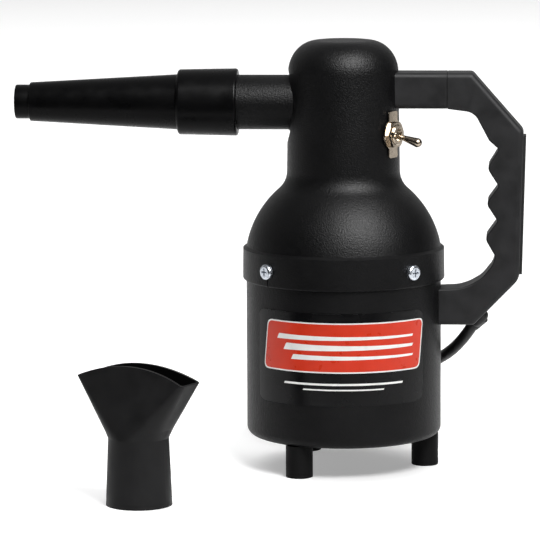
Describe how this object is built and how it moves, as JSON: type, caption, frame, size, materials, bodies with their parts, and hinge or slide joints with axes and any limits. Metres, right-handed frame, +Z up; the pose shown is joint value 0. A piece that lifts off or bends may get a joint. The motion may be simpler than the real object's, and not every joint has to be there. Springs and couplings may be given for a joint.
{
  "type": "car dryer blower",
  "caption": "Portable upright blower for drying cars: round metal body, side pipe with cone nozzle, finger-grip handle, toggle switch, rubber feet, cord and spare flare nozzle.",
  "frame": {"origin": "on the body's vertical axis, in the plane of the floor under the three feet", "axes": "+Z up along the body and motor shaft, -X out along the outlet pipe, +X towards the handle, -Y towards the label"},
  "size_m": [0.2993, 0.3256, 0.2508],
  "materials": {
    "black_textured_paint": "fine powder coat, satin",
    "black_moulded_plastic": "satin moulded",
    "strip_plastic": "matte",
    "nozzle_rubber": "smooth satin",
    "flare_plastic": "matte moulded",
    "foot_rubber": "matte",
    "cord_jacket": "satin",
    "tie_fabric": "woven",
    "decal": null,
    "zinc_plated_steel": "bright zinc",
    "nickel_plate": "bright nickel",
    "brass": "bare",
    "sheet_steel": "rolled",
    "aluminium_sheet": "mill finish",
    "bearing_steel": "ground",
    "lamination_steel": "varnished laminations",
    "copper_winding": "enamelled copper",
    "carbon": "carbon",
    "filter_foam": "open-cell foam",
    "wire_insulation": "satin"
  },
  "bodies": {
    "body": {"lower_housing": "black_textured_paint", "upper_housing": "black_textured_paint", "housing_screws": "zinc_plated_steel", "clip_nuts": "zinc_plated_steel", "label": "decal", "outlet_pipe": "black_textured_paint", "handle_grip": "black_moulded_plastic", "handle_spacer": "black_moulded_plastic", "handle_back_strip": "strip_plastic", "handle_screws": "zinc_plated_steel", "switch_body": "black_moulded_plastic", "switch_bushing": "nickel_plate", "switch_plate": "nickel_plate", "switch_nut": "nickel_plate", "switch_terminals": "brass", "fan_shroud": "sheet_steel", "fan_diffuser": "aluminium_sheet", "motor_fan_bracket": "sheet_steel", "bearing_lower": "bearing_steel", "stator_core": "lamination_steel", "field_coils": "copper_winding", "motor_brush_bracket": "sheet_steel", "bearing_upper": "bearing_steel", "motor_through_bolts": "zinc_plated_steel", "motor_gasket": "foot_rubber", "motor_cushion": "foot_rubber", "brush_holder_left": "brass", "brush_holder_right": "brass", "brush_left": "carbon", "brush_right": "carbon", "brush_springs": "sheet_steel", "intake_filter": "filter_foam", "filter_screen": "sheet_steel", "foot_right": "foot_rubber", "foot_front": "foot_rubber", "foot_rear": "foot_rubber", "foot_studs": "zinc_plated_steel", "strain_relief": "cord_jacket", "power_cord": "cord_jacket", "cord_coil": "cord_jacket", "cord_tie": "tie_fabric", "plug_lead": "cord_jacket", "plug_body": "cord_jacket", "plug_blades": "brass", "supply_wires": "wire_insulation", "motor_wires": "wire_insulation"},
    "rotor": {"motor_shaft": "bearing_steel", "shaft_nut": "zinc_plated_steel", "impeller_lower": "aluminium_sheet", "impeller_upper": "aluminium_sheet", "impeller_spacer": "aluminium_sheet", "armature_core": "lamination_steel", "armature_windings": "copper_winding", "commutator": "copper_winding"},
    "toggle": {"toggle_lever": "nickel_plate"},
    "cone": {"cone_nozzle": "nozzle_rubber"},
    "flare": {"flare_nozzle": "flare_plastic"}
  },
  "joints": [
    {"name": "rotor_spin", "type": "hinge", "parent": "body", "child": "rotor", "pos_m": [0, 0, 0.1], "axis": [0, 0, 1], "continuous": true},
    {"name": "toggle_throw", "type": "hinge", "parent": "body", "child": "toggle", "pos_m": [0.03041, -0.01651, 0.1973], "axis": [0.4772, 0.8788, 0], "range_deg": [-30, 0]},
    {"name": "cone_pull_off", "type": "slide", "parent": "body", "child": "cone", "axis": [-1, 0, 0], "range_m": [0, 0.045]},
    {"name": "flare_lift", "type": "slide", "parent": "body", "child": "flare", "axis": [0, 0, 1], "range_m": [0, 0.06]}
  ]
}
